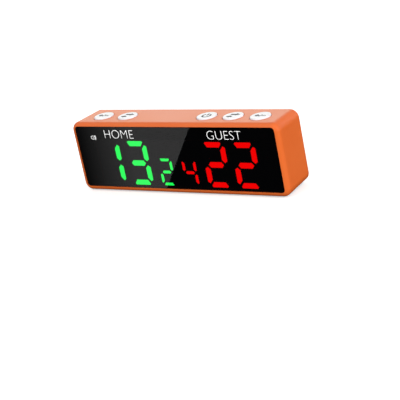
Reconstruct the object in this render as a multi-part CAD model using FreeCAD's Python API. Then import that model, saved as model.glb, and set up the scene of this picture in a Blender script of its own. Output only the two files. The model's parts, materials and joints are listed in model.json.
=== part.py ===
import FreeCAD, Part
import math
import os

from FreeCAD import Vector

# Portable electronic scoreboard: a moulded box with a smoked window, two-colour seven-segment
# digits behind it and five push buttons on top.
#
# Millimetres. X runs to the right as the viewer sees the display, Y runs into the depth with the
# display facing -Y, and Z is up. The origin is the bottom centre, on the plane that the feet rest on.

# ---------------------------------------------------------------- driving dimensions

# housing
BODY_WIDTH = 160.0
BODY_DEPTH = 27.5
BODY_HEIGHT = 47.8
CORNER_RADIUS = 5.5
FRONT_ROUNDING = 3.2
REAR_ROUNDING = 1.0
SIDE_DRAFT = 0.8          # each side wall comes in by this much from front to back
FLOOR_RISE = 1.3          # the underside rises by this much from front to back
WALL = 2.0
FOOT_STANDOFF = 0.3       # the front bottom edge clears the table by this much

# window
LENS_SIDE_MARGIN = 3.05
LENS_TOP_MARGIN = 2.4
LENS_BOTTOM_MARGIN = 3.2
LENS_CORNER_RADIUS = 2.5
LENS_RECESS = 0.25
LENS_THICKNESS = 1.1
LENS_GAP = 0.08           # clearance between the window and its pocket
TAPE_THICKNESS = 0.15
SEAT_THICKNESS = 1.65     # front wall left behind the window

# display
MODULE_OFFSET_X = -0.65   # the digits sit this far from the middle of the window
DIGIT_WIDTH = 17.3
DIGIT_HEIGHT = 30.1
DIGIT_BOTTOM = 5.25
SMALL_DIGIT_SCALE = 0.62
SMALL_DIGIT_TRIM = 0.18   # a small digit's bars are slimmer by this much on every side
BIG_DIGIT_PLACES = (52.3, 30.2)
SMALL_DIGIT_PLACE = 9.15
SEGMENT_CLEARANCE = 0.06
BAR_PROUD = 0.1
BAR_DEPTH = 2.0
REFLECTOR_DEPTH = 7.0
REFLECTOR_HALF_WIDTH = 62.2
REFLECTOR_BOTTOM = 4.95
REFLECTOR_TOP = 36.3
BOARD_THICKNESS = 1.6
BOARD_HALF_WIDTH = 73.0
BOARD_TOP = 36.4

# rear cover
COVER_THICKNESS = 2.2
COVER_RECESS = 0.2        # the cover sits this far inside the case's back rim
COVER_GAP = 0.12
RABBET_WALL = 1.2         # case wall left round the cover
COVER_BOSS = 2.0
COVER_BOSS_RADIUS = 3.2
BOARD_BOSS_RADIUS = 2.2
BOSS_RIB_HALF = 0.8       # half the thickness of the ribs that tie a corner boss to the walls
BOSS_ROOT = 0.5           # bosses and ribs start this deep inside the wall they stand on
SOUND_SLOTS = 7
SOUND_SLOT_PITCH = 2.6
SOUND_SLOT_WIDTH = 1.3

# buttons, named from left to right
BUTTON_PLACES = {
    "home_score": -61.0,
    "home_mode": -41.2,
    "power": 21.1,
    "guest_mode": 40.8,
    "guest_score": 60.65,
}
BUTTON_Y = -0.4
BUTTON_RADIUS = 6.6
BUTTON_PROUD = 0.7
BUTTON_TRAVEL = 0.4
BUTTON_HOLE_GAP = 0.25
BUTTON_HOLE_ROUNDING = 0.35
BUTTON_ROUNDING = 0.45
BUTTON_TOP_THICKNESS = 1.2
BUTTON_SKIRT = 1.2
BUTTON_POST_RADIUS = 1.8
BUTTON_RIB = 1.0
DISH_RADIUS = 5.9         # the shallow finger dish in a cap's top
DISH_DEPTH = 0.15
FLANGE_RADIUS = 7.5
FLANGE_THICKNESS = 0.9
FLANGE_GAP = 0.1

# push switches
SWITCH_SIDE = 6.0
SWITCH_BODY_HEIGHT = 3.2
SWITCH_COVER = 0.3
SWITCH_TOTAL_HEIGHT = 5.0
STEM_RADIUS = 1.65
STEM_COLLAR_RADIUS = 2.1
DOME_RADIUS = 1.95
DOME_SKIN = 0.1
LEG_THICKNESS = 0.25
LEG_WIDTH = 0.7
LEG_Y = 2.25              # the legs stand this far in front of and behind a switch's middle
SMALL_BOARD_THICKNESS = 1.2
BUTTON_BOARD_HALF_WIDTH = 68.0
BUTTON_BOARD_FRONT = -8.4
BUTTON_BOARD_BACK = 9.2

# fasteners, as (shank radius, head radius, head thickness)
COVER_SCREW = (1.2, 2.5, 1.8)
BOARD_SCREW = (0.9, 1.9, 1.3)
SCREW_CLEARANCE = 0.05
BOARD_SCREW_PLAY = 0.2
HEAD_SINK = 2.4           # depth of the rear cover's screw recesses
BOARD_SCREW_LENGTH = 5.5

# feet
FOOT_RADIUS = 4.0
FOOT_X = 64.0
FRONT_FOOT_Y = -4.4
REAR_FOOT_Y = 8.0
FOOT_RECESS = 0.8

# battery, with its foam tape and its plug on the display board
BATTERY_WIDTH = 58.0
BATTERY_THICKNESS = 8.0
BATTERY_HEIGHT = 29.0
BATTERY_X = 2.0
BATTERY_Z = 20.5
BATTERY_FOAM = 0.5
TERMINAL_STRIP = 2.5
BATTERY_RIB = 1.2
BATTERY_RIB_HEIGHT = 2.6
BATTERY_RIB_HALF_LENGTH = 20.0
PLUG_X = 39.0
PLUG_Z = 24.0
PLUG_BACK = 3.6
BATTERY_WIRE_RADIUS = 0.6

# speaker
SPEAKER_X = 53.0
SPEAKER_Z = 24.0
SPEAKER_RADIUS = 11.5
SPEAKER_DEPTH = 2.6
SPEAKER_GASKET = 0.6
SPEAKER_RING_WALL = 1.4
SPEAKER_RING_HEIGHT = 4.2
GASKET_RIM = 1.4
BASKET_FLOOR = 0.6
BASKET_WALL = 1.0
CONE_SKIN = 0.3
MAGNET_LEDGE = 1.3        # the basket overlaps the magnet by this much
MAGNET_RADIUS = 7.5
MAGNET_DEPTH = 2.0
SPEAKER_WIRE_RADIUS = 0.45

# charging board and socket
CHARGE_X = -50.0
CHARGE_BOARD_Z = 11.0
CHARGE_BOARD_HALF_WIDTH = 11.0
USB_HALF_WIDTH = 4.47
USB_HALF_HEIGHT = 1.6
USB_LENGTH = 7.3
USB_SKIN = 0.3
USB_END = 0.4
PORT_GAP = 0.38

# ribbon cables and bends
RIBBON_THICKNESS = 0.7
RIBBON_BEND = 1.0
WIRE_BEND = 2.0

# every cutting shape runs past the surface that it cuts by this much
PAST = 1.0

# ---------------------------------------------------------------- worked-out places

FRONT = -BODY_DEPTH / 2
BACK = BODY_DEPTH / 2
BODY_BOTTOM = FOOT_STANDOFF
BODY_TOP = BODY_BOTTOM + BODY_HEIGHT
TOP_WALL_INSIDE = BODY_TOP - WALL

LENS_FRONT = FRONT + LENS_RECESS
LENS_BACK = LENS_FRONT + LENS_THICKNESS
SEAT_FRONT = LENS_BACK + TAPE_THICKNESS
SEAT_BACK = SEAT_FRONT + SEAT_THICKNESS
LENS_BOTTOM = BODY_BOTTOM + LENS_BOTTOM_MARGIN
LENS_TOP = BODY_TOP - LENS_TOP_MARGIN
LENS_HALF_WIDTH = BODY_WIDTH / 2 - LENS_SIDE_MARGIN

BAR_FRONT = LENS_BACK + BAR_PROUD
REFLECTOR_FRONT = BAR_FRONT + BAR_PROUD
BOARD_FRONT = REFLECTOR_FRONT + REFLECTOR_DEPTH
BOARD_BACK = BOARD_FRONT + BOARD_THICKNESS

COVER_OUTSIDE = BACK - COVER_RECESS
COVER_INSIDE = COVER_OUTSIDE - COVER_THICKNESS

STEM_TOP = TOP_WALL_INSIDE - 1.7
BUTTON_BOARD_TOP = STEM_TOP - SWITCH_TOTAL_HEIGHT
BUTTON_BOARD_BOTTOM = BUTTON_BOARD_TOP - SMALL_BOARD_THICKNESS
BUTTON_TOP = BODY_TOP + BUTTON_PROUD
DOME_TOP = BUTTON_BOARD_TOP + 0.75
SWITCH_FLOOR = DOME_TOP - BUTTON_TRAVEL - 0.05

BATTERY_BACK = COVER_INSIDE - BATTERY_FOAM
BATTERY_FRONT = BATTERY_BACK - BATTERY_THICKNESS
SPEAKER_BACK = COVER_INSIDE - SPEAKER_GASKET
CHARGE_BOARD_TOP = CHARGE_BOARD_Z + SMALL_BOARD_THICKNESS
USB_Z = CHARGE_BOARD_TOP + USB_HALF_HEIGHT
USB_MOUTH = COVER_OUTSIDE - 0.1

COVER_SCREWS = [(x, z) for x in (-72.5, 72.5) for z in (8.95, 39.95)]
DISPLAY_SCREWS = [(x, z) for x in (-70.0, 70.0) for z in (18.5, 31.0)]
BUTTON_BOARD_SCREWS = [(-51.1, 6.3), (-28.0, 0.0), (8.0, 0.0), (30.7, 6.3), (50.5, 6.3)]
CHARGE_SCREWS = [(CHARGE_X - 7.6, 3.0), (CHARGE_X + 7.6, 3.0)]

# Which of a digit's segments are lit to show each figure.
FIGURES = {"1": "bc", "2": "abdeg", "3": "abcdg", "4": "bcfg"}
# Each digit's name, place from the middle of the display, figure shown and size.
DIGITS = [
    ("home_tens", -BIG_DIGIT_PLACES[0], "1", 1.0),
    ("home_units", -BIG_DIGIT_PLACES[1], "3", 1.0),
    ("home_sets", -SMALL_DIGIT_PLACE, "2", SMALL_DIGIT_SCALE),
    ("guest_sets", SMALL_DIGIT_PLACE, "4", SMALL_DIGIT_SCALE),
    ("guest_tens", BIG_DIGIT_PLACES[1], "2", 1.0),
    ("guest_units", BIG_DIGIT_PLACES[0], "2", 1.0),
]

# Each chip on the back of the display board: its x, z, width and height.
CHIPS = [(-12.0, 21.0, 18.0, 7.5), (-33.0, 27.0, 12.8, 7.5), (30.0, 12.0, 12.8, 7.5), (44.0, 31.5, 5.0, 4.0)]
CHIP_PITCH = 1.27
# Each row of small parts there: the first one's x and z, how many, their pitch, height, width and depth.
SMALL_PART_ROWS = [(-60.0, 33.0, 8, 2.6, 1.6, 0.8, 0.6), (-26.0, 10.0, 7, 2.8, 1.6, 0.8, 0.6),
                   (50.0, 33.5, 5, 2.8, 2.0, 1.25, 0.9), (4.0, 32.5, 6, 3.0, 1.6, 0.8, 0.6)]
# Each can capacitor there: its x and z.
CAPACITORS = [(60.0, 12.0), (-64.0, 24.0)]
CAPACITOR_RADIUS = 2.5
CAPACITOR_LENGTH = 5.4
# Each part on the charging board: its x from the board's middle, its y, width, depth and height.
CHARGE_PARTS = [(1.0, 2.6, 3.9, 4.9, 1.4), (-3.2, 1.8, 3.0, 3.0, 1.6),
                (8.0, 7.5, 1.6, 0.8, 0.8), (-8.0, 7.5, 1.6, 0.8, 0.8)]


# ---------------------------------------------------------------- building blocks

def box(x0, x1, y0, y1, z0, z1):
    """A block between two corners."""
    return Part.makeBox(x1 - x0, y1 - y0, z1 - z0, Vector(x0, y0, z0))


def centred_box(x, y, z, width, depth, height):
    """A block of a given size about a centre."""
    corner = Vector(x - width / 2, y - depth / 2, z - height / 2)
    return Part.makeBox(width, depth, height, corner)


def upright(x, y, z0, z1, radius):
    """A cylinder along Z."""
    return Part.makeCylinder(radius, z1 - z0, Vector(x, y, z0), Vector(0, 0, 1))


def level(x, z, y0, y1, radius):
    """A cylinder along Y."""
    return Part.makeCylinder(radius, y1 - y0, Vector(x, y0, z), Vector(0, 1, 0))


def rounded_outline(x0, x1, z0, z1, radius, y):
    """A rectangle with round corners, standing in the plane at depth y."""
    corners = [(x1 - radius, z1 - radius, 0), (x0 + radius, z1 - radius, 90),
               (x0 + radius, z0 + radius, 180), (x1 - radius, z0 + radius, 270)]
    ends = []
    for cx, cz, start in corners:
        a, middle, b = (
            Vector(cx + radius * math.cos(math.radians(start + turn)), y,
                   cz + radius * math.sin(math.radians(start + turn)))
            for turn in (0, 45, 90)
        )
        ends.append((a, middle, b))
    edges = []
    for i, (a, middle, b) in enumerate(ends):
        edges.append(Part.Arc(a, middle, b).toShape())
        edges.append(Part.LineSegment(b, ends[(i + 1) % 4][0]).toShape())
    return Part.Wire(edges)


def rounded_block(x0, x1, z0, z1, radius, y0, y1):
    """A rounded rectangle extruded from depth y0 to y1."""
    face = Part.Face(rounded_outline(x0, x1, z0, z1, radius, y0))
    return face.extrude(Vector(0, y1 - y0, 0))


def housing_section(y, inset):
    """The housing's outline at depth y, drawn in by inset on every side."""
    share = (y - FRONT) / BODY_DEPTH
    half = BODY_WIDTH / 2 - SIDE_DRAFT * share - inset
    bottom = BODY_BOTTOM + FLOOR_RISE * share + inset
    return rounded_outline(-half, half, bottom, BODY_TOP - inset, CORNER_RADIUS - inset, y)


def housing_loft(y0, y1, inset):
    """A drafted block that follows the housing's walls between two depths."""
    return Part.makeLoft([housing_section(y0, inset), housing_section(y1, inset)], True, True)


def turned(profile, x, y):
    """A solid of revolution about a vertical axis, from (radius, height) points."""
    points = [Vector(r, 0, z) for r, z in profile]
    face = Part.Face(Part.makePolygon(points + points[:1]))
    solid = face.revolve(Vector(0, 0, 0), Vector(0, 0, 1), 360)
    solid.translate(Vector(x, y, 0))
    return solid


def edges_at_depth(shape, y):
    """The edges that lie in the plane at depth y."""
    return [e for e in shape.Edges if all(abs(v.Y - y) < 1e-4 for v in e.Vertexes)]


def edges_at_height(shape, z):
    """The edges that lie in the plane at height z."""
    return [e for e in shape.Edges if all(abs(v.Z - z) < 1e-4 for v in e.Vertexes)]


def joined(shapes):
    """One solid from several that touch or overlap."""
    return shapes[0].fuse(shapes[1:]).removeSplitter()


def without(shape, tools):
    """shape with the tools cut out of it."""
    return shape.cut(tools)


def save(node, *solids):
    """Writes one node, of one or more separate solids."""
    shape = solids[0] if len(solids) == 1 else Part.makeCompound(list(solids))
    if not shape.isValid():
        print("not valid:", node)
    shape.exportStep(os.path.join("parts", node + ".step"))


# ---------------------------------------------------------------- screws

def screw(sizes, length):
    """A pan-head screw with a cross recess. It stands head up, its head's underside at height 0."""
    shank, head, thickness = sizes
    body = upright(0, 0, 0, thickness, head)
    body = body.makeFillet(0.35 * thickness, edges_at_height(body, thickness))
    body = body.fuse(upright(0, 0, -length, 0, shank))
    slot = 0.9 * head
    width = 0.22 * head
    depth = 0.45 * thickness
    for wide, deep in ((slot, width), (width, slot)):
        body = body.cut(centred_box(0, 0, thickness, wide, deep, 2 * depth))
    return body.removeSplitter()


def screw_from(sizes, length, place, towards):
    """A screw with the middle of its head's underside at place, its head pointing along towards."""
    placed = screw(sizes, length)
    placed.Placement = FreeCAD.Placement(place, FreeCAD.Rotation(Vector(0, 0, 1), towards))
    return placed


# ---------------------------------------------------------------- housing

def window_aperture():
    """The hole in the front wall that the display's reflector looks through, as x0, x1, z0, z1."""
    gap = 0.15
    return (MODULE_OFFSET_X - REFLECTOR_HALF_WIDTH - gap, MODULE_OFFSET_X + REFLECTOR_HALF_WIDTH + gap,
            REFLECTOR_BOTTOM - 0.05, REFLECTOR_TOP + gap)


def underside(y):
    """Height of the housing's underside at depth y."""
    return BODY_BOTTOM + FLOOR_RISE * (y - FRONT) / BODY_DEPTH


def foot_seat(y):
    """Height of the level floor of a foot's recess."""
    return underside(y) + FOOT_RECESS


def shell_walls():
    """The case's hollow box, stepped at the back for the cover."""
    shell = housing_loft(FRONT, BACK, 0.0)
    shell = shell.makeFillet(FRONT_ROUNDING, edges_at_depth(shell, FRONT))
    shell = shell.makeFillet(REAR_ROUNDING, edges_at_depth(shell, BACK))
    return without(shell, [housing_loft(SEAT_BACK, BACK + PAST, WALL),
                           housing_loft(COVER_INSIDE, BACK + PAST, RABBET_WALL)])


def shell_bosses():
    """The bosses inside the case that screws go into, and the corner bosses' ribs."""
    added = []
    boss_end = COVER_INSIDE - COVER_BOSS
    half = BOSS_RIB_HALF
    for x, z in COVER_SCREWS:
        added.append(level(x, z, SEAT_BACK, boss_end, COVER_BOSS_RADIUS))
        wall = math.copysign(BODY_WIDTH / 2 - WALL, x)
        added.append(box(min(x, wall), max(x, wall), SEAT_BACK, boss_end, z - half, z + half))
        root = TOP_WALL_INSIDE + BOSS_ROOT if z > BODY_HEIGHT / 2 else underside(FRONT) + WALL - BOSS_ROOT
        added.append(box(x - half, x + half, SEAT_BACK, boss_end, min(z, root), max(z, root)))
    for x, z in DISPLAY_SCREWS:
        added.append(level(x, z, SEAT_BACK, BOARD_FRONT, BOARD_BOSS_RADIUS))
    for x, y in BUTTON_BOARD_SCREWS:
        added.append(upright(x, y, BUTTON_BOARD_TOP, TOP_WALL_INSIDE + BOSS_ROOT, BOARD_BOSS_RADIUS))
    for x, y in CHARGE_SCREWS:
        added.append(upright(x, y, underside(y) + WALL - BOSS_ROOT, CHARGE_BOARD_Z, BOARD_BOSS_RADIUS))
    return added


def shell_pilot_holes():
    """The blind holes in the bosses that the screws cut their threads in."""
    pilot = COVER_SCREW[0] + SCREW_CLEARANCE
    holes = [level(x, z, -2.0, COVER_INSIDE - COVER_BOSS + PAST, pilot) for x, z in COVER_SCREWS]
    pilot = BOARD_SCREW[0] + SCREW_CLEARANCE
    for x, z in DISPLAY_SCREWS:
        holes.append(level(x, z, SEAT_BACK + 0.6, BOARD_FRONT + PAST, pilot))
    for x, y in BUTTON_BOARD_SCREWS:
        holes.append(upright(x, y, BUTTON_BOARD_TOP - PAST, TOP_WALL_INSIDE - 0.4, pilot))
    for x, y in CHARGE_SCREWS:
        holes.append(upright(x, y, underside(y) + WALL + 1.0, CHARGE_BOARD_Z + PAST, pilot))
    return holes


def shell_openings():
    """The window's pocket and aperture, the button holes and the recesses for the feet."""
    x0, x1, z0, z1 = window_aperture()
    openings = [
        rounded_block(-LENS_HALF_WIDTH, LENS_HALF_WIDTH, LENS_BOTTOM, LENS_TOP,
                      LENS_CORNER_RADIUS, FRONT - PAST, SEAT_FRONT),
        box(x0, x1, FRONT, SEAT_BACK + PAST, z0, z1),
    ]
    for x in BUTTON_PLACES.values():
        openings.append(upright(x, BUTTON_Y, TOP_WALL_INSIDE - PAST, BODY_TOP + PAST,
                                BUTTON_RADIUS + BUTTON_HOLE_GAP))
    for x in (-FOOT_X, FOOT_X):
        for y in (FRONT_FOOT_Y, REAR_FOOT_Y):
            openings.append(upright(x, y, -PAST, foot_seat(y), FOOT_RADIUS + 0.1))
    return openings


def front_shell():
    """The one-piece case: bezel, top, sides and bottom, open at the back."""
    shell = joined([shell_walls()] + shell_bosses())
    shell = without(shell, shell_openings() + shell_pilot_holes())
    rims = [e for e in edges_at_height(shell, BODY_TOP) if on_a_button_hole(e)]
    return shell.makeFillet(BUTTON_HOLE_ROUNDING, rims)


def on_a_button_hole(edge):
    """Whether an edge of the top face runs round a button's hole."""
    radius = BUTTON_RADIUS + BUTTON_HOLE_GAP
    middle = edge.valueAt((edge.FirstParameter + edge.LastParameter) / 2)
    return any(abs(math.hypot(middle.x - x, middle.y - BUTTON_Y) - radius) < 0.01
               for x in BUTTON_PLACES.values())


def sound_slots(y0, y1):
    """Upright slots that fill the circle in front of the speaker."""
    slots = []
    half_width = SOUND_SLOT_WIDTH / 2
    for i in range(SOUND_SLOTS):
        across = (i - (SOUND_SLOTS - 1) / 2) * SOUND_SLOT_PITCH
        half = math.sqrt((SPEAKER_RADIUS - 1.8) ** 2 - across ** 2)
        x = SPEAKER_X + across
        slots.append(rounded_block(x - half_width, x + half_width, SPEAKER_Z - half, SPEAKER_Z + half,
                                   half_width - 0.01, y0, y1))
    return slots


def cover_features():
    """What stands on the cover's inside: screw bosses, the speaker's ring and the battery's ribs."""
    sunk = COVER_INSIDE + BOSS_ROOT
    added = [level(x, z, COVER_INSIDE - COVER_BOSS, sunk, COVER_BOSS_RADIUS) for x, z in COVER_SCREWS]
    ring_front = COVER_INSIDE - SPEAKER_RING_HEIGHT
    ring = level(SPEAKER_X, SPEAKER_Z, ring_front, sunk, SPEAKER_RADIUS + SPEAKER_RING_WALL)
    added.append(ring.cut(level(SPEAKER_X, SPEAKER_Z, ring_front - PAST, COVER_INSIDE, SPEAKER_RADIUS + 0.1)))
    reach = BATTERY_HEIGHT / 2 + 0.2
    for low in (BATTERY_Z - reach - BATTERY_RIB, BATTERY_Z + reach):
        added.append(box(BATTERY_X - BATTERY_RIB_HALF_LENGTH, BATTERY_X + BATTERY_RIB_HALF_LENGTH,
                         COVER_INSIDE - BATTERY_RIB_HEIGHT, sunk, low, low + BATTERY_RIB))
    return added


def rear_cover():
    """The screwed-on back plate, with sound slots, a charging port opening and a speaker ring."""
    outline = Part.Face(housing_section(COVER_OUTSIDE, RABBET_WALL + COVER_GAP))
    plate = outline.extrude(Vector(0, -COVER_THICKNESS, 0))
    plate = plate.makeChamfer(0.3, edges_at_depth(plate, COVER_OUTSIDE))
    plate = joined([plate] + cover_features())

    cuts = sound_slots(COVER_INSIDE - 0.5, COVER_OUTSIDE + PAST)
    for x, z in COVER_SCREWS:
        cuts.append(level(x, z, COVER_INSIDE - COVER_BOSS - PAST, COVER_OUTSIDE + PAST, COVER_SCREW[0] + 0.2))
        cuts.append(level(x, z, COVER_OUTSIDE - HEAD_SINK, COVER_OUTSIDE + PAST, COVER_SCREW[1] + 0.3))
    cuts.append(usb_outline(PORT_GAP, COVER_INSIDE - PAST, COVER_OUTSIDE + PAST))
    return without(plate, cuts)


def front_lens():
    """The smoked acrylic window."""
    lens = rounded_block(-LENS_HALF_WIDTH + LENS_GAP, LENS_HALF_WIDTH - LENS_GAP, LENS_BOTTOM + LENS_GAP,
                         LENS_TOP - LENS_GAP, LENS_CORNER_RADIUS - LENS_GAP, LENS_FRONT, LENS_BACK)
    return lens.makeChamfer(0.15, edges_at_depth(lens, LENS_FRONT))


def lens_tape():
    """The adhesive frame that holds the window on its seat."""
    inset = 0.3
    frame = rounded_block(-LENS_HALF_WIDTH + inset, LENS_HALF_WIDTH - inset, LENS_BOTTOM + inset,
                          LENS_TOP - inset, LENS_CORNER_RADIUS - inset, LENS_BACK, SEAT_FRONT)
    x0, x1, z0, z1 = window_aperture()
    edge = 0.1
    return frame.cut(box(x0 - edge, x1 + edge, LENS_BACK - PAST, SEAT_FRONT + PAST, z0 - edge, z1 + edge))


def foot(x, y):
    """A rubber pad that fills its level recess and makes up for the underside's rise."""
    pad = upright(x, y, 0.0, foot_seat(y), FOOT_RADIUS)
    return pad.makeFillet(0.4, edges_at_height(pad, 0.0))


# ---------------------------------------------------------------- display

def segment_outline(letter):
    """One segment's corners in a full-size digit, from the digit's middle."""
    side = DIGIT_WIDTH / 2
    top = DIGIT_HEIGHT / 2
    if letter in "ad":
        points = [(-6.05, top - 0.9), (-5.45, top), (5.45, top), (6.05, top - 0.9),
                  (4.35, top - 3.4), (-4.35, top - 3.4)]
    elif letter == "g":
        points = [(-5.6, 0.0), (-4.1, 1.8), (4.1, 1.8), (5.6, 0.0), (4.1, -1.8), (-4.1, -1.8)]
    else:
        points = [(side, 2.7), (side, top - 3.65), (side - 1.5, top - 2.7), (side - 3.6, top - 5.2),
                  (side - 3.6, 3.2), (side - 1.75, 1.45)]
    across = -1 if letter in "ef" else 1
    down = -1 if letter in "cde" else 1
    return [(across * x, down * z) for x, z in points]


def segment(letter, centre_x, centre_z, scale, y0, y1, grow=0.0):
    """One segment as a prism, grown on every side by grow."""
    points = [Vector(centre_x + scale * x, y0, centre_z + scale * z) for x, z in segment_outline(letter)]
    wire = Part.makePolygon(points + points[:1])
    if grow:
        wire = wire.makeOffset2D(grow, 2)
    return Part.Face(wire).extrude(Vector(0, y1 - y0, 0))


def digit_bars(y0, y1, grow=0.0):
    """Every segment of every digit as a prism, with the digit's name and whether it is lit."""
    for name, place, figure, scale in DIGITS:
        x = MODULE_OFFSET_X + place
        z = DIGIT_BOTTOM + scale * DIGIT_HEIGHT / 2
        fit = grow if scale == 1.0 else grow - SMALL_DIGIT_TRIM
        for letter in "abcdefg":
            yield name, letter in FIGURES[figure], segment(letter, x, z, scale, y0, y1, fit)


def display_reflector():
    """The dark block whose shaped wells keep each segment's light apart."""
    block = box(MODULE_OFFSET_X - REFLECTOR_HALF_WIDTH, MODULE_OFFSET_X + REFLECTOR_HALF_WIDTH,
                REFLECTOR_FRONT, BOARD_FRONT, REFLECTOR_BOTTOM, REFLECTOR_TOP)
    wells = digit_bars(REFLECTOR_FRONT - PAST, BOARD_FRONT + PAST, SEGMENT_CLEARANCE)
    return without(block, [well for name, lit, well in wells])


def light_bars():
    """The light bars of every digit: one node per lit figure, and one for all the unlit bars."""
    nodes = {}
    for name, lit, bar in digit_bars(BAR_FRONT, BAR_FRONT + BAR_DEPTH):
        node = name + "_lit" if lit else "unlit_segments"
        nodes.setdefault(node, []).append(bar)
    for node, bars in nodes.items():
        save(node, *bars)


def segment_leds():
    """The chip LEDs on the board, two along each large segment and one behind each small one."""
    chips = []
    long_side = 1.6
    short_side = 0.8
    spread = 2.4
    for name, lit, bar in digit_bars(BOARD_FRONT - short_side, BOARD_FRONT):
        bounds = bar.BoundBox
        flat = bounds.XLength > bounds.ZLength
        large = max(bounds.XLength, bounds.ZLength) > 9.0
        for step in (-spread, spread) if large else (0.0,):
            x = bounds.Center.x + (step if flat else 0.0)
            z = bounds.Center.z + (0.0 if flat else step)
            width, height = (long_side, short_side) if flat else (short_side, long_side)
            chips.append(centred_box(x, BOARD_FRONT - short_side / 2, z, width, short_side, height))
    return chips


def display_board():
    """The main board: LEDs in front, chips behind, notched round the lower cover bosses."""
    board = box(-BOARD_HALF_WIDTH, BOARD_HALF_WIDTH, BOARD_FRONT, BOARD_BACK, REFLECTOR_BOTTOM, BOARD_TOP)
    cuts = []
    for x in (-BOARD_HALF_WIDTH, BOARD_HALF_WIDTH):
        cuts.append(centred_box(x, BOARD_FRONT, REFLECTOR_BOTTOM, 9.6, 10.0, 16.2))
    for x, z in DISPLAY_SCREWS:
        cuts.append(level(x, z, BOARD_FRONT - PAST, BOARD_BACK + PAST, BOARD_SCREW[0] + BOARD_SCREW_PLAY))
    return without(board, cuts)


def board_chips():
    """The controller, two display drivers and the sound amplifier, with their legs."""
    chips = []
    for x, z, width, height in CHIPS:
        body = centred_box(x, BOARD_BACK + 1.25, z, width, 2.1, height)
        chips.append(body.makeChamfer(0.2, edges_at_depth(body, BOARD_BACK + 2.3)))
        legs = int(width / CHIP_PITCH)
        for i in range(legs):
            lx = x + (i - (legs - 1) / 2) * CHIP_PITCH
            for side in (-1, 1):
                lz = z + side * (height / 2 + 0.6)
                chips.append(centred_box(lx, BOARD_BACK + 0.1, lz, 0.42, 0.2, 1.15))
    return chips


def board_passives():
    """Small resistors and capacitors in rows on the back of the main board."""
    parts = []
    for x, z, count, pitch, height, width, depth in SMALL_PART_ROWS:
        for i in range(count):
            parts.append(centred_box(x + i * pitch, BOARD_BACK + depth / 2, z, width, depth, height))
    for x, z in CAPACITORS:
        parts.append(level(x, z, BOARD_BACK, BOARD_BACK + CAPACITOR_LENGTH, CAPACITOR_RADIUS))
    return parts


# ---------------------------------------------------------------- buttons

def finger_dish(x):
    """The ball whose lowest cap of surface forms the dish in a button's top."""
    ball = (DISH_RADIUS ** 2 + DISH_DEPTH ** 2) / (2 * DISH_DEPTH)
    return Part.makeSphere(ball, Vector(x, BUTTON_Y, BUTTON_TOP - DISH_DEPTH + ball))


def button_cap(x):
    """A white cap: a hollow cup with a flange that stops it under the case and a post on the switch."""
    flange_top = TOP_WALL_INSIDE - FLANGE_GAP
    flange_bottom = flange_top - FLANGE_THICKNESS
    ceiling = BUTTON_TOP - BUTTON_TOP_THICKNESS
    inner = BUTTON_RADIUS - BUTTON_SKIRT
    post = BUTTON_POST_RADIUS
    profile = [(0, BUTTON_TOP), (BUTTON_RADIUS, BUTTON_TOP), (BUTTON_RADIUS, flange_top),
               (FLANGE_RADIUS, flange_top), (FLANGE_RADIUS, flange_bottom), (inner, flange_bottom),
               (inner, ceiling), (post, ceiling), (post, STEM_TOP), (0, STEM_TOP)]
    cap = turned(profile, x, BUTTON_Y)
    cap = cap.makeFillet(BUTTON_ROUNDING, edges_at_height(cap, BUTTON_TOP))
    cap = cap.cut(finger_dish(x))
    rib_bottom = flange_bottom + 1.0
    rib_height = ceiling + 0.2 - rib_bottom
    rib_middle = rib_bottom + rib_height / 2
    rib_length = 2 * inner + 0.4
    ribs = [centred_box(x, BUTTON_Y, rib_middle, rib_length, BUTTON_RIB, rib_height),
            centred_box(x, BUTTON_Y, rib_middle, BUTTON_RIB, rib_length, rib_height)]
    return joined([cap] + ribs)


def switch_stem(x):
    """The switch's moving plunger, kept in by its wide lower half."""
    collar_top = BUTTON_BOARD_TOP + SWITCH_BODY_HEIGHT - 0.1
    profile = [(0, STEM_TOP), (STEM_RADIUS, STEM_TOP), (STEM_RADIUS, collar_top),
               (STEM_COLLAR_RADIUS, collar_top), (STEM_COLLAR_RADIUS, DOME_TOP), (0, DOME_TOP)]
    return turned(profile, x, BUTTON_Y)


def switch_dome(x):
    """The sprung steel dome that returns the button."""
    rise = DOME_TOP - SWITCH_FLOOR
    radius = (DOME_RADIUS ** 2 + rise ** 2) / (2 * rise)
    centre = Vector(x, BUTTON_Y, DOME_TOP - radius)
    skin = Part.makeSphere(radius, centre).cut(Part.makeSphere(radius - DOME_SKIN, centre))
    return skin.common(upright(x, BUTTON_Y, SWITCH_FLOOR, DOME_TOP, DOME_RADIUS + PAST))


def switch_housing(x):
    """The switch's moulded body, with a round well for the stem."""
    top = BUTTON_BOARD_TOP + SWITCH_BODY_HEIGHT
    body = box(x - SWITCH_SIDE / 2, x + SWITCH_SIDE / 2, BUTTON_Y - SWITCH_SIDE / 2,
               BUTTON_Y + SWITCH_SIDE / 2, BUTTON_BOARD_TOP, top)
    return body.cut(upright(x, BUTTON_Y, SWITCH_FLOOR, top + PAST, STEM_COLLAR_RADIUS + 0.1))


def switch_cover(x):
    """The pressed steel plate on top of a switch."""
    low = BUTTON_BOARD_TOP + SWITCH_BODY_HEIGHT
    half = SWITCH_SIDE / 2 - 0.1
    plate = box(x - half, x + half, BUTTON_Y - half, BUTTON_Y + half, low, low + SWITCH_COVER)
    plate = plate.cut(upright(x, BUTTON_Y, low - PAST, low + PAST, STEM_RADIUS + 0.08))
    return plate


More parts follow.
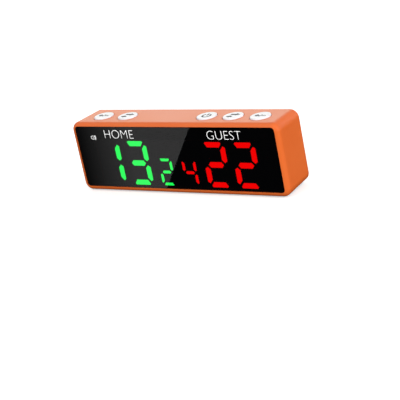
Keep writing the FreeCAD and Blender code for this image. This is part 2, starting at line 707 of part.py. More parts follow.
def switch_leads(x):
    """A switch's four legs, bent down beside it and soldered through the board."""
    legs = []
    low = BUTTON_BOARD_BOTTOM - 0.8
    high = BUTTON_BOARD_TOP + 1.2
    for side in (-1, 1):
        leg_x = x + side * (SWITCH_SIDE + LEG_THICKNESS) / 2
        for y in (BUTTON_Y - LEG_Y, BUTTON_Y + LEG_Y):
            legs.append(centred_box(leg_x, y, (low + high) / 2, LEG_THICKNESS, LEG_WIDTH, high - low))
    return legs


def button_board():
    """The narrow board that carries the five switches."""
    board = box(-BUTTON_BOARD_HALF_WIDTH, BUTTON_BOARD_HALF_WIDTH, BUTTON_BOARD_FRONT,
                BUTTON_BOARD_BACK, BUTTON_BOARD_BOTTOM, BUTTON_BOARD_TOP)
    cuts = []
    for x, y in BUTTON_BOARD_SCREWS:
        cuts.append(upright(x, y, BUTTON_BOARD_BOTTOM - PAST, BUTTON_BOARD_TOP + PAST,
                            BOARD_SCREW[0] + BOARD_SCREW_PLAY))
    for x in BUTTON_PLACES.values():
        for leg in switch_leads(x):
            low = leg.BoundBox
            cuts.append(box(low.XMin - 0.1, low.XMax + 0.1, low.YMin - 0.1, low.YMax + 0.1,
                            BUTTON_BOARD_BOTTOM - PAST, BUTTON_BOARD_TOP + PAST))
    return without(board, cuts)


# ---------------------------------------------------------------- wires and ribbons

def round_section(place, direction, radius):
    """The outline of a round wire at its start."""
    return Part.Wire(Part.makeCircle(radius, place, direction))


def flat_section(place, width, thickness):
    """The outline of a ribbon that starts along Z."""
    corners = [(-1, -1), (1, -1), (1, 1), (-1, 1), (-1, -1)]
    return Part.makePolygon([place + Vector(i * width / 2, j * thickness / 2, 0) for i, j in corners])


def swept(section, start, corner, end, bend):
    """A section carried along two straight runs with one bend of the given radius between them."""
    before = (corner - start).normalize()
    after = (end - corner).normalize()
    half_turn = before.getAngle(after) / 2
    back = bend * math.tan(half_turn)
    arc_start = corner - before * back
    arc_end = corner + after * back
    middle = corner + (after - before).normalize() * (bend / math.cos(half_turn) - bend)
    path = Part.Wire([
        Part.LineSegment(start, arc_start).toShape(),
        Part.Arc(arc_start, middle, arc_end).toShape(),
        Part.LineSegment(arc_end, end).toShape(),
    ])
    return path.makePipeShell([section], True, False)


def ribbon(x, y, z_start, z_turn, width):
    """A ribbon cable that leaves a small board along Z and turns to meet the display board."""
    start = Vector(x, y, z_start)
    section = flat_section(start, width, RIBBON_THICKNESS)
    return swept(section, start, Vector(x, y, z_turn), Vector(x, BOARD_BACK, z_turn), RIBBON_BEND)


def battery_lead(z):
    """One lead, from the plug round to the cell's terminal strip."""
    end = BATTERY_X + BATTERY_WIDTH / 2 + TERMINAL_STRIP
    y = BATTERY_FRONT + BATTERY_THICKNESS / 2
    start = Vector(PLUG_X, PLUG_BACK, z)
    section = round_section(start, Vector(0, 1, 0), BATTERY_WIRE_RADIUS)
    return swept(section, start, Vector(PLUG_X, y, z), Vector(end, y, z), WIRE_BEND)


def speaker_lead(drop):
    """A thin lead from the speaker's magnet, drop below its middle, to the display board."""
    reach = math.sqrt(MAGNET_RADIUS ** 2 - (drop - SPEAKER_WIRE_RADIUS) ** 2) + 0.05
    y = SPEAKER_BACK - SPEAKER_DEPTH - 1.5
    z = SPEAKER_Z - drop
    turn = SPEAKER_X - 9.0
    start = Vector(SPEAKER_X - reach, y, z)
    section = round_section(start, Vector(-1, 0, 0), SPEAKER_WIRE_RADIUS)
    return swept(section, start, Vector(turn, y, z), Vector(turn, BOARD_BACK, z), WIRE_BEND)


# ---------------------------------------------------------------- power and sound

def battery_cell():
    """A flat lithium pouch cell with its terminal strip at one side."""
    x0, x1 = BATTERY_X - BATTERY_WIDTH / 2, BATTERY_X + BATTERY_WIDTH / 2
    z0, z1 = BATTERY_Z - BATTERY_HEIGHT / 2, BATTERY_Z + BATTERY_HEIGHT / 2
    pouch = rounded_block(x0, x1, z0, z1, 1.5, BATTERY_FRONT, BATTERY_BACK)
    pouch = pouch.makeFillet(1.2, edges_at_depth(pouch, BATTERY_FRONT) + edges_at_depth(pouch, BATTERY_BACK))
    middle = (BATTERY_FRONT + BATTERY_BACK) / 2
    strip = box(x1 - 0.5, x1 + TERMINAL_STRIP, middle - 0.8, middle + 0.8, z0 + 3, z1 - 3)
    return joined([pouch, strip])


def battery_tape():
    """The foam tape that holds the cell on the rear cover."""
    middle = (BATTERY_BACK + COVER_INSIDE) / 2
    return centred_box(BATTERY_X, middle, BATTERY_Z, BATTERY_WIDTH - 8, BATTERY_FOAM, BATTERY_HEIGHT - 6)


def battery_header():
    """The socket on the display board for the battery plug."""
    depth = 5.8
    shell = centred_box(PLUG_X, BOARD_BACK + depth / 2, PLUG_Z, 4.5, depth, 7.0)
    return shell.cut(centred_box(PLUG_X, BOARD_BACK + depth / 2 + 1, PLUG_Z, 3.3, depth, 5.8))


def battery_plug():
    """The plug on the battery leads."""
    front = BOARD_BACK + 1.05
    return centred_box(PLUG_X, (front + PLUG_BACK) / 2, PLUG_Z, 3.2, PLUG_BACK - front, 5.7)


def speaker_frame():
    """The speaker's pressed basket, open in front of the magnet."""
    front = SPEAKER_BACK - SPEAKER_DEPTH
    frame = level(SPEAKER_X, SPEAKER_Z, front, SPEAKER_BACK, SPEAKER_RADIUS)
    return without(frame, [
        level(SPEAKER_X, SPEAKER_Z, front + BASKET_FLOOR, SPEAKER_BACK + PAST, SPEAKER_RADIUS - BASKET_WALL),
        level(SPEAKER_X, SPEAKER_Z, front - PAST, SPEAKER_BACK, MAGNET_RADIUS - MAGNET_LEDGE),
    ])


def speaker_cone():
    """The thin dished diaphragm behind the sound slots."""
    rim = SPEAKER_RADIUS - BASKET_WALL - 0.05
    back = SPEAKER_BACK - 0.1
    outer = [(0, back - 0.9), (4.0, back - 0.5), (rim, back - 1.5)]
    inner = [(r, y - CONE_SKIN) for r, y in reversed(outer)]
    points = [Vector(r, y, 0) for r, y in outer + inner]
    cone = Part.Face(Part.makePolygon(points + points[:1])).revolve(Vector(0, 0, 0), Vector(0, 1, 0), 360)
    cone.translate(Vector(SPEAKER_X, 0, SPEAKER_Z))
    return cone


def speaker_magnet():
    """The magnet can on the speaker's inner side."""
    back = SPEAKER_BACK - SPEAKER_DEPTH
    can = level(SPEAKER_X, SPEAKER_Z, back - MAGNET_DEPTH, back, MAGNET_RADIUS)
    return can.makeFillet(0.4, edges_at_depth(can, back - MAGNET_DEPTH))


def speaker_gasket():
    """The foam ring between the speaker and the rear cover."""
    ring = level(SPEAKER_X, SPEAKER_Z, SPEAKER_BACK, COVER_INSIDE, SPEAKER_RADIUS)
    middle = level(SPEAKER_X, SPEAKER_Z, SPEAKER_BACK - PAST, COVER_INSIDE + PAST,
                   SPEAKER_RADIUS - GASKET_RIM)
    return ring.cut(middle)


def charge_board():
    """The small board with the charging socket."""
    board = box(CHARGE_X - CHARGE_BOARD_HALF_WIDTH, CHARGE_X + CHARGE_BOARD_HALF_WIDTH, -1.0,
                COVER_INSIDE - 0.3, CHARGE_BOARD_Z, CHARGE_BOARD_TOP)
    hole = BOARD_SCREW[0] + BOARD_SCREW_PLAY
    return without(board, [upright(x, y, CHARGE_BOARD_Z - PAST, CHARGE_BOARD_TOP + PAST, hole)
                           for x, y in CHARGE_SCREWS])


def charge_chips():
    """The charging controller, its inductor and two capacitors."""
    return [centred_box(CHARGE_X + x, y, CHARGE_BOARD_TOP + height / 2, width, depth, height)
            for x, y, width, depth, height in CHARGE_PARTS]


def usb_outline(grow, y0, y1):
    """The flat oval of the charging socket, grown by grow, as a prism."""
    half = USB_HALF_WIDTH + grow
    tall = USB_HALF_HEIGHT + grow
    return rounded_block(CHARGE_X - half, CHARGE_X + half, USB_Z - tall, USB_Z + tall, tall - 0.02, y0, y1)


def usb_shell():
    """The socket's drawn steel shell, closed at its inner end."""
    shell = usb_outline(0.0, USB_MOUTH - USB_LENGTH, USB_MOUTH)
    return shell.cut(usb_outline(-USB_SKIN, USB_MOUTH - USB_LENGTH + USB_END, USB_MOUTH + PAST))


def usb_tongue():
    """The contact tongue in the middle of the socket."""
    tongue = centred_box(CHARGE_X, USB_MOUTH - 3.9, USB_Z, 6.6, 6.0, 0.7)
    root = centred_box(CHARGE_X, USB_MOUTH - 6.4, USB_Z, 6.6, 1.0, 2.1)
    return joined([tongue, root])


# ---------------------------------------------------------------- all the nodes

def save_case():
    """Housing, window and feet."""
    save("front_shell", front_shell())
    save("rear_cover", rear_cover())
    save("front_lens", front_lens())
    save("lens_tape", lens_tape())
    save("front_feet", foot(-FOOT_X, FRONT_FOOT_Y), foot(FOOT_X, FRONT_FOOT_Y))
    save("rear_feet", foot(-FOOT_X, REAR_FOOT_Y), foot(FOOT_X, REAR_FOOT_Y))


def save_display():
    """Everything that makes the lit digits."""
    save("display_reflector", display_reflector())
    light_bars()
    save("segment_leds", *segment_leds())
    save("display_board", display_board())
    save("board_chips", *board_chips())
    save("board_passives", *board_passives())


def save_buttons():
    """The five buttons, their switches and the board under them."""
    for name, x in BUTTON_PLACES.items():
        save(name + "_button", button_cap(x))
        save(name + "_stem", switch_stem(x))
        save(name + "_dome", switch_dome(x))
    places = BUTTON_PLACES.values()
    save("switch_housings", *[switch_housing(x) for x in places])
    save("switch_covers", *[switch_cover(x) for x in places])
    save("switch_leads", *[leg for x in places for leg in switch_leads(x)])
    save("button_board", button_board())
    save("button_ribbon", ribbon(-8.0, -1.6, BUTTON_BOARD_BOTTOM, 33.6, 8.0))


def save_power_and_sound():
    """Battery, speaker and charging socket."""
    save("battery_cell", battery_cell())
    save("battery_tape", battery_tape())
    save("battery_header", battery_header())
    save("battery_plug", battery_plug())
    save("battery_lead_red", battery_lead(PLUG_Z + 1.0))
    save("battery_lead_black", battery_lead(PLUG_Z - 1.0))
    save("speaker_frame", speaker_frame())
    save("speaker_cone", speaker_cone())
    save("speaker_magnet", speaker_magnet())
    save("speaker_gasket", speaker_gasket())
    save("speaker_leads", speaker_lead(5.2), speaker_lead(6.9))
    save("charge_board", charge_board())
    save("charge_chips", *charge_chips())
    save("usb_shell", usb_shell())
    save("usb_tongue", usb_tongue())
    save("charge_ribbon", ribbon(CHARGE_X + 6.9, 0.4, CHARGE_BOARD_TOP, 15.4, 5.0))


def save_screws():
    """Every screw, one node for each kind in each place."""
    back = Vector(0, 1, 0)
    down = Vector(0, 0, -1)
    up = Vector(0, 0, 1)
    seats = {
        "rear_cover_screws": (COVER_SCREW, 9.0, back,
                              [Vector(x, COVER_OUTSIDE - HEAD_SINK, z) for x, z in COVER_SCREWS]),
        "display_board_screws": (BOARD_SCREW, BOARD_SCREW_LENGTH, back,
                                 [Vector(x, BOARD_BACK, z) for x, z in DISPLAY_SCREWS]),
        "button_board_screws": (BOARD_SCREW, BOARD_SCREW_LENGTH, down,
                                [Vector(x, y, BUTTON_BOARD_BOTTOM) for x, y in BUTTON_BOARD_SCREWS]),
        "charge_board_screws": (BOARD_SCREW, BOARD_SCREW_LENGTH, up,
                                [Vector(x, y, CHARGE_BOARD_TOP) for x, y in CHARGE_SCREWS]),
    }
    for node, (sizes, length, towards, places) in seats.items():
        save(node, *[screw_from(sizes, length, place, towards) for place in places])


def main():
    """Writes every node into the parts folder."""
    os.makedirs("parts", exist_ok=True)
    save_case()
    save_display()
    save_buttons()
    save_power_and_sound()
    save_screws()


main()
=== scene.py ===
# %% [markdown]
# # A portable scoreboard, finished in Blender
# The object is a moulded orange box about as long as a hand. A smoked window fills its front, lit
# digits shine through the window, and five white buttons sit on top. The working model comes from
# CAD as one mesh for each real part, already in metres and in place. This script never moves those
# parts. It gives each one the finish of the real material, adds the printing that CAD leaves out,
# and sets up a camera, a floor and soft light.

# %% Load the working model
import json
import math

import bmesh
import bpy
from mathutils import Matrix, Vector


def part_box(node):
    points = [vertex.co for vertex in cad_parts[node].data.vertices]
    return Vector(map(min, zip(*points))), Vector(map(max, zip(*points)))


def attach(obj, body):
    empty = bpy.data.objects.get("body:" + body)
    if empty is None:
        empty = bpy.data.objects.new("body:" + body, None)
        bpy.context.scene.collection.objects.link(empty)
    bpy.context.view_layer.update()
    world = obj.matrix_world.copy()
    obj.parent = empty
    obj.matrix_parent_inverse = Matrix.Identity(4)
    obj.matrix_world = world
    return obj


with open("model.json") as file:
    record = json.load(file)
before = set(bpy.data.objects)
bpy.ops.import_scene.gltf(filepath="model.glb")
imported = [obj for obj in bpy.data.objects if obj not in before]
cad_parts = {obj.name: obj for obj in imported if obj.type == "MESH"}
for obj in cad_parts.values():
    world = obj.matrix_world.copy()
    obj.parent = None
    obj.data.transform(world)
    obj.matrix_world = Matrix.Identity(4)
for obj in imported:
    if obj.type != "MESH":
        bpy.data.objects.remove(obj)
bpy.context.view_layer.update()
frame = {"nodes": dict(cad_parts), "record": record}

MM = 0.001
BUTTONS = ("home_score", "home_mode", "power", "guest_mode", "guest_score")

# %% [markdown]
# ## Where things are
# Everything added later is placed from the CAD parts' own boxes, so it stays right if the design
# changes a little. The window's front face carries the printed words. Each button's cap has a
# shallow finger dish, and its symbol is printed inside that dish.

# %% Measure the window and the buttons
window_low, window_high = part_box("front_lens")
case_low, case_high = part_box("front_shell")
case_middle = (case_low + case_high) / 2

cap_centres = {}
for name in BUTTONS:
    cap_low, cap_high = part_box(name + "_button")
    cap_centres[name] = Vector(((cap_low.x + cap_high.x) / 2, (cap_low.y + cap_high.y) / 2, cap_high.z))
print("window in mm:", [round(side / MM, 1) for side in window_high - window_low])
print("button tops at", round(cap_high.z / MM, 2), "mm")

# %% [markdown]
# ## The camera
# A product like this is usually shot with a long lens from a little above and to one side, which
# keeps its edges nearly parallel. The camera is placed by two angles round the case, a distance and
# a tilt about its own axis, because those are what a photographer would change.

# %% Place the camera
VIEW_AZIMUTH = math.radians(37.04)
VIEW_ELEVATION = math.radians(19.6)
VIEW_TILT = math.radians(-11.69)
VIEW_DISTANCE = 837.7 * MM
SHIFT_RIGHT = 8.34 * MM
SHIFT_DOWN = 31.18 * MM
SENSOR = 36.0
LENS = 117.85

away = Vector((
    math.sin(VIEW_AZIMUTH) * math.cos(VIEW_ELEVATION),
    -math.cos(VIEW_AZIMUTH) * math.cos(VIEW_ELEVATION),
    math.sin(VIEW_ELEVATION),
))
level_right = Vector((math.cos(VIEW_AZIMUTH), math.sin(VIEW_AZIMUTH), 0.0))
upright = away.cross(level_right)
right = math.cos(VIEW_TILT) * level_right + math.sin(VIEW_TILT) * upright
up = away.cross(right)

camera = bpy.data.objects.new("camera", bpy.data.cameras.new("camera"))
camera.data.sensor_width = SENSOR
camera.data.lens = LENS
axes = Matrix((right, up, away)).transposed().to_4x4()
spot = case_middle + away * VIEW_DISTANCE + right * SHIFT_RIGHT - up * SHIFT_DOWN
camera.matrix_world = Matrix.Translation(spot) @ axes
bpy.context.scene.collection.objects.link(camera)
bpy.context.scene.camera = camera
print("camera at", [round(v, 3) for v in spot])

# %% [markdown]
# ## Making materials
# A material here is a small network of shader nodes. Two helpers keep the networks short. The first
# turns an ordinary hex colour into the linear numbers that a shader works with. The second adds one
# node, sets its values and joins its inputs. Patterns are sized in real millimetres, so a grain
# looks the same on a large part and on a small one.

# %% Helpers for colours and nodes
def colour(hex_code):
    """A hex colour as linear red, green, blue and alpha."""
    parts = [int(hex_code[i:i + 2], 16) / 255 for i in (1, 3, 5)]
    linear = [p / 12.92 if p <= 0.04045 else ((p + 0.055) / 1.055) ** 2.4 for p in parts]
    return (*linear, 1.0)


def add_node(tree, kind, values=None, links=None, **options):
    """Adds a node, gives its sockets values, joins them to other nodes and sets its options."""
    node = tree.nodes.new("ShaderNode" + kind)
    for option, value in options.items():
        setattr(node, option, value)
    for socket, value in (values or {}).items():
        node.inputs[socket].default_value = value
    for socket, source in (links or {}).items():
        tree.links.new(source, node.inputs[socket])
    return node


def start_material(name):
    """An empty material, its node tree and the object's own coordinates in metres."""
    material = bpy.data.materials.new(name)
    material.use_nodes = True
    tree = material.node_tree
    tree.nodes.clear()
    place = add_node(tree, "TexCoord").outputs["Object"]
    return material, tree, place


def end_material(material, tree, surface):
    """Joins the finished surface to the material's output."""
    add_node(tree, "OutputMaterial", links={"Surface": surface.outputs["BSDF"]})
    print("material:", material.name, "with", len(tree.nodes), "nodes")
    return material


def per_mm(size_mm):
    """A pattern scale, for coordinates in metres, that repeats about every size_mm millimetres."""
    return 1.0 / (size_mm * MM)


# %% [markdown]
# ## Orange ABS
# The case is injection moulded in ABS coloured right through. The steel mould was spark eroded to a
# fine matt texture, so the plastic has a soft, wide sheen and a grain that is only just visible.
# The eye also picks up a faint cloudiness where the melt cooled at different speeds. A fine noise
# drives the bump, and a slow one shifts the colour and the roughness slightly.

# %% Orange ABS, spark-eroded
def spark_eroded_abs():
    material, tree, place = start_material("orange_abs_spark_eroded")
    cloud = add_node(tree, "TexNoise", {"Scale": per_mm(35), "Detail": 3.0}, {"Vector": place})
    # Real spark-eroded grain is near 0.1 mm. It is drawn at 0.35 mm so that it can show.
    grain = add_node(tree, "TexNoise", {"Scale": per_mm(0.35), "Detail": 2.0}, {"Vector": place})
    paint = add_node(tree, "ValToRGB", links={"Fac": cloud.outputs["Fac"]})
    paint.color_ramp.elements[0].position = 0.3
    paint.color_ramp.elements[0].color = colour("#E2692C")
    paint.color_ramp.elements[1].position = 0.7
    paint.color_ramp.elements[1].color = colour("#E56E31")
    sheen = add_node(tree, "MapRange", {"To Min": 0.36, "To Max": 0.46}, {"Value": cloud.outputs["Fac"]})
    bump = add_node(tree, "Bump", {"Strength": 0.12, "Distance": 0.03 * MM}, {"Height": grain.outputs["Fac"]})
    surface = add_node(tree, "BsdfPrincipled", {"IOR": 1.53}, {
        "Base Color": paint.outputs["Color"],
        "Roughness": sheen.outputs["Result"],
        "Normal": bump.outputs["Normal"],
    })
    return end_material(material, tree, surface)


# %% [markdown]
# ## Smoked acrylic
# The window is cast acrylic, dyed almost black and polished. It hides everything behind it that
# gives no light, and it reflects like glass. A true absorbing volume would be slow to render, so
# each face of the sheet is black with a little transparency. A very slow ripple in the surface
# bends straight reflections, as a moulded sheet does.

# %% Smoked acrylic, polished
FACE_OPACITY = 0.72


def smoked_acrylic():
    material, tree, place = start_material("smoked_acrylic_polished")
    ripple = add_node(tree, "TexNoise", {"Scale": per_mm(60), "Detail": 1.0}, {"Vector": place})
    bump = add_node(tree, "Bump", {"Strength": 0.02, "Distance": 0.2 * MM}, {"Height": ripple.outputs["Fac"]})
    surface = add_node(tree, "BsdfPrincipled", {
        "Base Color": colour("#050506"),
        "Roughness": 0.012,
        "IOR": 1.49,
        "Alpha": FACE_OPACITY,
    }, {"Normal": bump.outputs["Normal"]})
    return end_material(material, tree, surface)


# %% [markdown]
# ## Lit diffuser bars
# Each segment of a digit is a small bar of milky plastic with LEDs behind it. The eye sees an even,
# strongly coloured patch with a crisp outline. The light crosses both faces of the window, and each
# face takes its share, so the bars shine brighter than they look. The plastic has a faint mottle.

# %% Milky diffusers, lit and unlit
LIT_LEVEL = 1.0 / (1.0 - FACE_OPACITY) ** 2


def diffuser(name, body_hex, glow_hex, strength):
    material, tree, place = start_material(name)
    mottle = add_node(tree, "TexNoise", {"Scale": per_mm(0.8), "Detail": 2.0}, {"Vector": place})
    rough = add_node(tree, "MapRange", {"To Min": 0.45, "To Max": 0.6}, {"Value": mottle.outputs["Fac"]})
    surface = add_node(tree, "BsdfPrincipled", {
        "Base Color": colour(body_hex),
        "Emission Color": colour(glow_hex),
        "Emission Strength": strength,
    }, {"Roughness": rough.outputs["Result"]})
    return end_material(material, tree, surface)


# %% [markdown]
# ## White ABS and printing ink
# The button caps are white ABS with a slightly blue cast and a smoother texture than the case. The
# symbols are pad printed in dark grey ink, and the words on the window are screen printed in white.
# Ink lies on its surface as a thin dry film, so it is matt and its shade wavers a little. The white
# ink is also given a faint glow of its own, which is painted light: it makes the letters brighter
# than the lamps alone make them.

# %% White ABS and ink
def white_abs():
    material, tree, place = start_material("white_abs_satin")
    grain = add_node(tree, "TexNoise", {"Scale": per_mm(0.3), "Detail": 2.0}, {"Vector": place})
    cloud = add_node(tree, "TexNoise", {"Scale": per_mm(9), "Detail": 2.0}, {"Vector": place})
    tint = add_node(tree, "ValToRGB", links={"Fac": cloud.outputs["Fac"]})
    tint.color_ramp.elements[0].color = colour("#ECEDF3")
    tint.color_ramp.elements[1].color = colour("#F3F4F9")
    bump = add_node(tree, "Bump", {"Strength": 0.08, "Distance": 0.02 * MM}, {"Height": grain.outputs["Fac"]})
    surface = add_node(tree, "BsdfPrincipled", {"IOR": 1.53, "Roughness": 0.38}, {
        "Base Color": tint.outputs["Color"],
        "Normal": bump.outputs["Normal"],
    })
    return end_material(material, tree, surface)


def ink(name, thin_hex, full_hex, glow=0.0):
    material, tree, place = start_material(name)
    film = add_node(tree, "TexNoise", {"Scale": per_mm(0.6), "Detail": 3.0}, {"Vector": place})
    shade = add_node(tree, "ValToRGB", links={"Fac": film.outputs["Fac"]})
    shade.color_ramp.elements[0].position = 0.3
    shade.color_ramp.elements[0].color = colour(thin_hex)
    shade.color_ramp.elements[1].position = 0.6
    shade.color_ramp.elements[1].color = colour(full_hex)
    # A glow above zero is painted light, a brightness that no lamp gives the ink.
    surface = add_node(tree, "BsdfPrincipled", {"Roughness": 0.55, "Emission Strength": glow}, {
        "Base Color": shade.outputs["Color"],
        "Emission Color": shade.outputs["Color"],
    })
    return end_material(material, tree, surface)


# %% [markdown]
# ## Moulded parts inside
# The inner mouldings are plain: nylon, black glass-filled plastic and wire insulation. They share
# one recipe with a grain size and two close colours, because all of them are moulded or extruded
# with the same dull, slightly uneven skin.

# %% Plain mouldings, rubber and foam
def moulding(name, low_hex, high_hex, roughness, grain_mm, bump_depth_mm):
    material, tree, place = start_material(name)
    grain = add_node(tree, "TexNoise", {"Scale": per_mm(grain_mm), "Detail": 3.0}, {"Vector": place})
    shade = add_node(tree, "ValToRGB", links={"Fac": grain.outputs["Fac"]})
    shade.color_ramp.elements[0].position = 0.35
    shade.color_ramp.elements[0].color = colour(low_hex)
    shade.color_ramp.elements[1].position = 0.65
    shade.color_ramp.elements[1].color = colour(high_hex)
    bump = add_node(tree, "Bump", {"Strength": 0.3, "Distance": bump_depth_mm * MM},
                    {"Height": grain.outputs["Fac"]})
    surface = add_node(tree, "BsdfPrincipled", {"Roughness": roughness}, {
        "Base Color": shade.outputs["Color"],
        "Normal": bump.outputs["Normal"],
    })
    return end_material(material, tree, surface)


# %% [markdown]
# ## Metals
# Screws are zinc-plated steel with a fine turned finish, and the socket's shell is drawn steel with
# lines along the draw. Both come from one recipe: a noise stretched along one direction varies the
# roughness, as tool marks do. The battery's foil is softer and crumples slightly.

# %% Drawn, turned and rolled metal
def worked_metal(name, hex_code, roughness, line_mm, stretch):
    material, tree, place = start_material(name)
    turned = add_node(tree, "Mapping", {"Scale": stretch}, {"Vector": place})
    lines = add_node(tree, "TexNoise", {"Scale": per_mm(line_mm), "Detail": 3.0},
                     {"Vector": turned.outputs["Vector"]})
    rough = add_node(tree, "MapRange", {"To Min": roughness - 0.08, "To Max": roughness + 0.08},
                     {"Value": lines.outputs["Fac"]})
    bump = add_node(tree, "Bump", {"Strength": 0.1, "Distance": 0.02 * MM}, {"Height": lines.outputs["Fac"]})
    surface = add_node(tree, "BsdfPrincipled", {"Base Color": colour(hex_code), "Metallic": 1.0}, {
        "Roughness": rough.outputs["Result"],
        "Normal": bump.outputs["Normal"],
    })
    return end_material(material, tree, surface)


# %% [markdown]
# ## Circuit board
# A board is woven glass cloth in resin under a thin green solder mask. The weave shows through the
# mask as a faint grid, which two crossed wave patterns make.

# %% Solder mask over glass cloth
def solder_mask():
    material, tree, place = start_material("solder_mask_green")
    across = add_node(tree, "TexWave", {"Scale": per_mm(3.0), "Distortion": 0.5}, {"Vector": place},
                      bands_direction="X")
    along = add_node(tree, "TexWave", {"Scale": per_mm(3.0), "Distortion": 0.5}, {"Vector": place},
                     bands_direction="Z")
    weave = add_node(tree, "Math", links={0: across.outputs["Fac"], 1: along.outputs["Fac"]},
                     operation="MULTIPLY")
    shade = add_node(tree, "ValToRGB", links={"Fac": weave.outputs["Value"]})
    shade.color_ramp.elements[0].color = colour("#0E4A26")
    shade.color_ramp.elements[1].color = colour("#16592F")
    surface = add_node(tree, "BsdfPrincipled", {"Roughness": 0.3}, {"Base Color": shade.outputs["Color"]})
    return end_material(material, tree, surface)


# %% [markdown]
# ## Giving each part its finish
# Every CAD part already names the material slot it belongs to, so one table from slot to finish
# covers the whole object.

# %% Assign the finishes by slot
ALONG_DRAW = (1.0, 0.1, 1.0)
EVEN = (1.0, 1.0, 1.0)
finishes = {
    "orange_case": spark_eroded_abs(),
    "smoked_window": smoked_acrylic(),
    "black_tape": moulding("acrylic_tape_black", "#08080A", "#0C0C0E", 0.8, 0.5, 0.01),
    "rubber_feet": moulding("silicone_rubber_black", "#191919", "#232323", 0.75, 0.3, 0.05),
    "reflector_black": moulding("polycarbonate_black", "#0A0A0B", "#0E0E0F", 0.7, 0.4, 0.02),
    "green_light": diffuser("diffuser_lit_green", "#1A3020", "#1CFF5A", LIT_LEVEL),
    "red_light": diffuser("diffuser_lit_red", "#301010", "#F00000", LIT_LEVEL),
    "unlit_segment": diffuser("diffuser_unlit", "#161616", "#000000", 0.0),
    "led_package": moulding("led_epoxy_yellow", "#CDB95A", "#DCCB70", 0.3, 0.3, 0.01),
    "circuit_board": solder_mask(),
    "chip_black": moulding("moulded_epoxy_black", "#16161A", "#1E1E22", 0.6, 0.15, 0.01),
    "passive_parts": moulding("ceramic_brown", "#6E5034", "#7C5C3E", 0.55, 0.2, 0.01),
    "switch_black": moulding("glass_filled_nylon_black", "#131314", "#1B1B1D", 0.55, 0.2, 0.02),
    "stem_brown": moulding("acetal_brown", "#4A3020", "#553826", 0.45, 0.3, 0.01),
    "nylon_white": moulding("nylon_natural", "#D9D5C6", "#E4E0D2", 0.5, 0.3, 0.02),
    "ribbon_grey": moulding("ribbon_pvc_grey", "#8A8A8E", "#97979B", 0.5, 0.4, 0.01),
    "wire_red": moulding("wire_pvc_red", "#A81418", "#B91C20", 0.45, 0.4, 0.01),
    "wire_black": moulding("wire_pvc_black", "#141414", "#1C1C1C", 0.45, 0.4, 0.01),
    "foam": moulding("foam_black", "#1C1C1C", "#2A2A2A", 0.95, 0.25, 0.1),
    "speaker_film": moulding("speaker_film_dark", "#2A2620", "#342F28", 0.5, 1.5, 0.02),
    "button_white": white_abs(),
    "steel": worked_metal("steel_drawn", "#B4B6B8", 0.32, 0.12, ALONG_DRAW),
    "screw_steel": worked_metal("steel_zinc_plated", "#A9ABAE", 0.35, 0.2, EVEN),
    "battery_foil": worked_metal("aluminium_foil_laminate", "#B9BCBF", 0.4, 2.0, EVEN),
}
slot_of = {part["node"]: part["material_slot"] for part in frame["record"]["subparts"]}
for node, part in frame["nodes"].items():
    part.data.materials.clear()
    part.data.materials.append(finishes[slot_of[node]])
print("finished", len(frame["nodes"]), "parts with", len(finishes), "finishes")

# %% [markdown]
# ## Printing
# Printed ink is a film a few hundredths of a millimetre thick. It is modelled as real geometry,
# because a shape should not depend on a texture. Each print is drawn flat, with its first axis to
# the right and its second axis up. It is then given its thickness and laid on its surface. On a
# button the film follows the finger dish, so every point is lifted by the dish's own curve.

# %% Helpers that draw flat ink shapes
INK = 0.03 * MM
INK_SUNK = 0.01 * MM
DISH_RADIUS = 5.9 * MM
DISH_DEPTH = 0.15 * MM
DISH_BALL = (DISH_RADIUS ** 2 + DISH_DEPTH ** 2) / (2 * DISH_DEPTH)
ARC_STEPS = 20
MERGE_DISTANCE = 0.001 * MM


def stroke(mesh, start, end, width):
    """A straight stroke between two points, in short lengths so that it can follow a curve."""
    run = Vector(end) - Vector(start)
    middle = (Vector(end) + Vector(start)) / 2
    made = bmesh.ops.create_grid(mesh, x_segments=6, y_segments=2, size=0.5)["verts"]
    bmesh.ops.scale(mesh, vec=(run.length, width, 1.0), verts=made)
    bmesh.ops.rotate(mesh, matrix=Matrix.Rotation(math.atan2(run.y, run.x), 3, "Z"), verts=made)
    bmesh.ops.translate(mesh, vec=(middle.x, middle.y, 0.0), verts=made)


def arc(mesh, x, y, radius, width, start, sweep):
    """A curved stroke about a centre, from the angle start through the angle sweep."""
    heading = Vector((math.cos(start), math.sin(start), 0.0))
    centre = Vector((x, y, 0.0))
    ends = [mesh.verts.new(centre + heading * (radius + side * width / 2)) for side in (-1, 1)]
    edge = mesh.edges.new(ends)
    bmesh.ops.spin(mesh, geom=[*ends, edge], cent=centre, axis=(0, 0, 1), angle=sweep, steps=ARC_STEPS)


def triangle(mesh, x, y, size, turn=0.0):
    """A filled triangle that points along turn."""
    place = Matrix.Translation((x, y, 0.0)) @ Matrix.Rotation(turn - math.pi / 2, 4, "Z")
    bmesh.ops.create_circle(mesh, cap_ends=True, radius=size, segments=3, matrix=place)


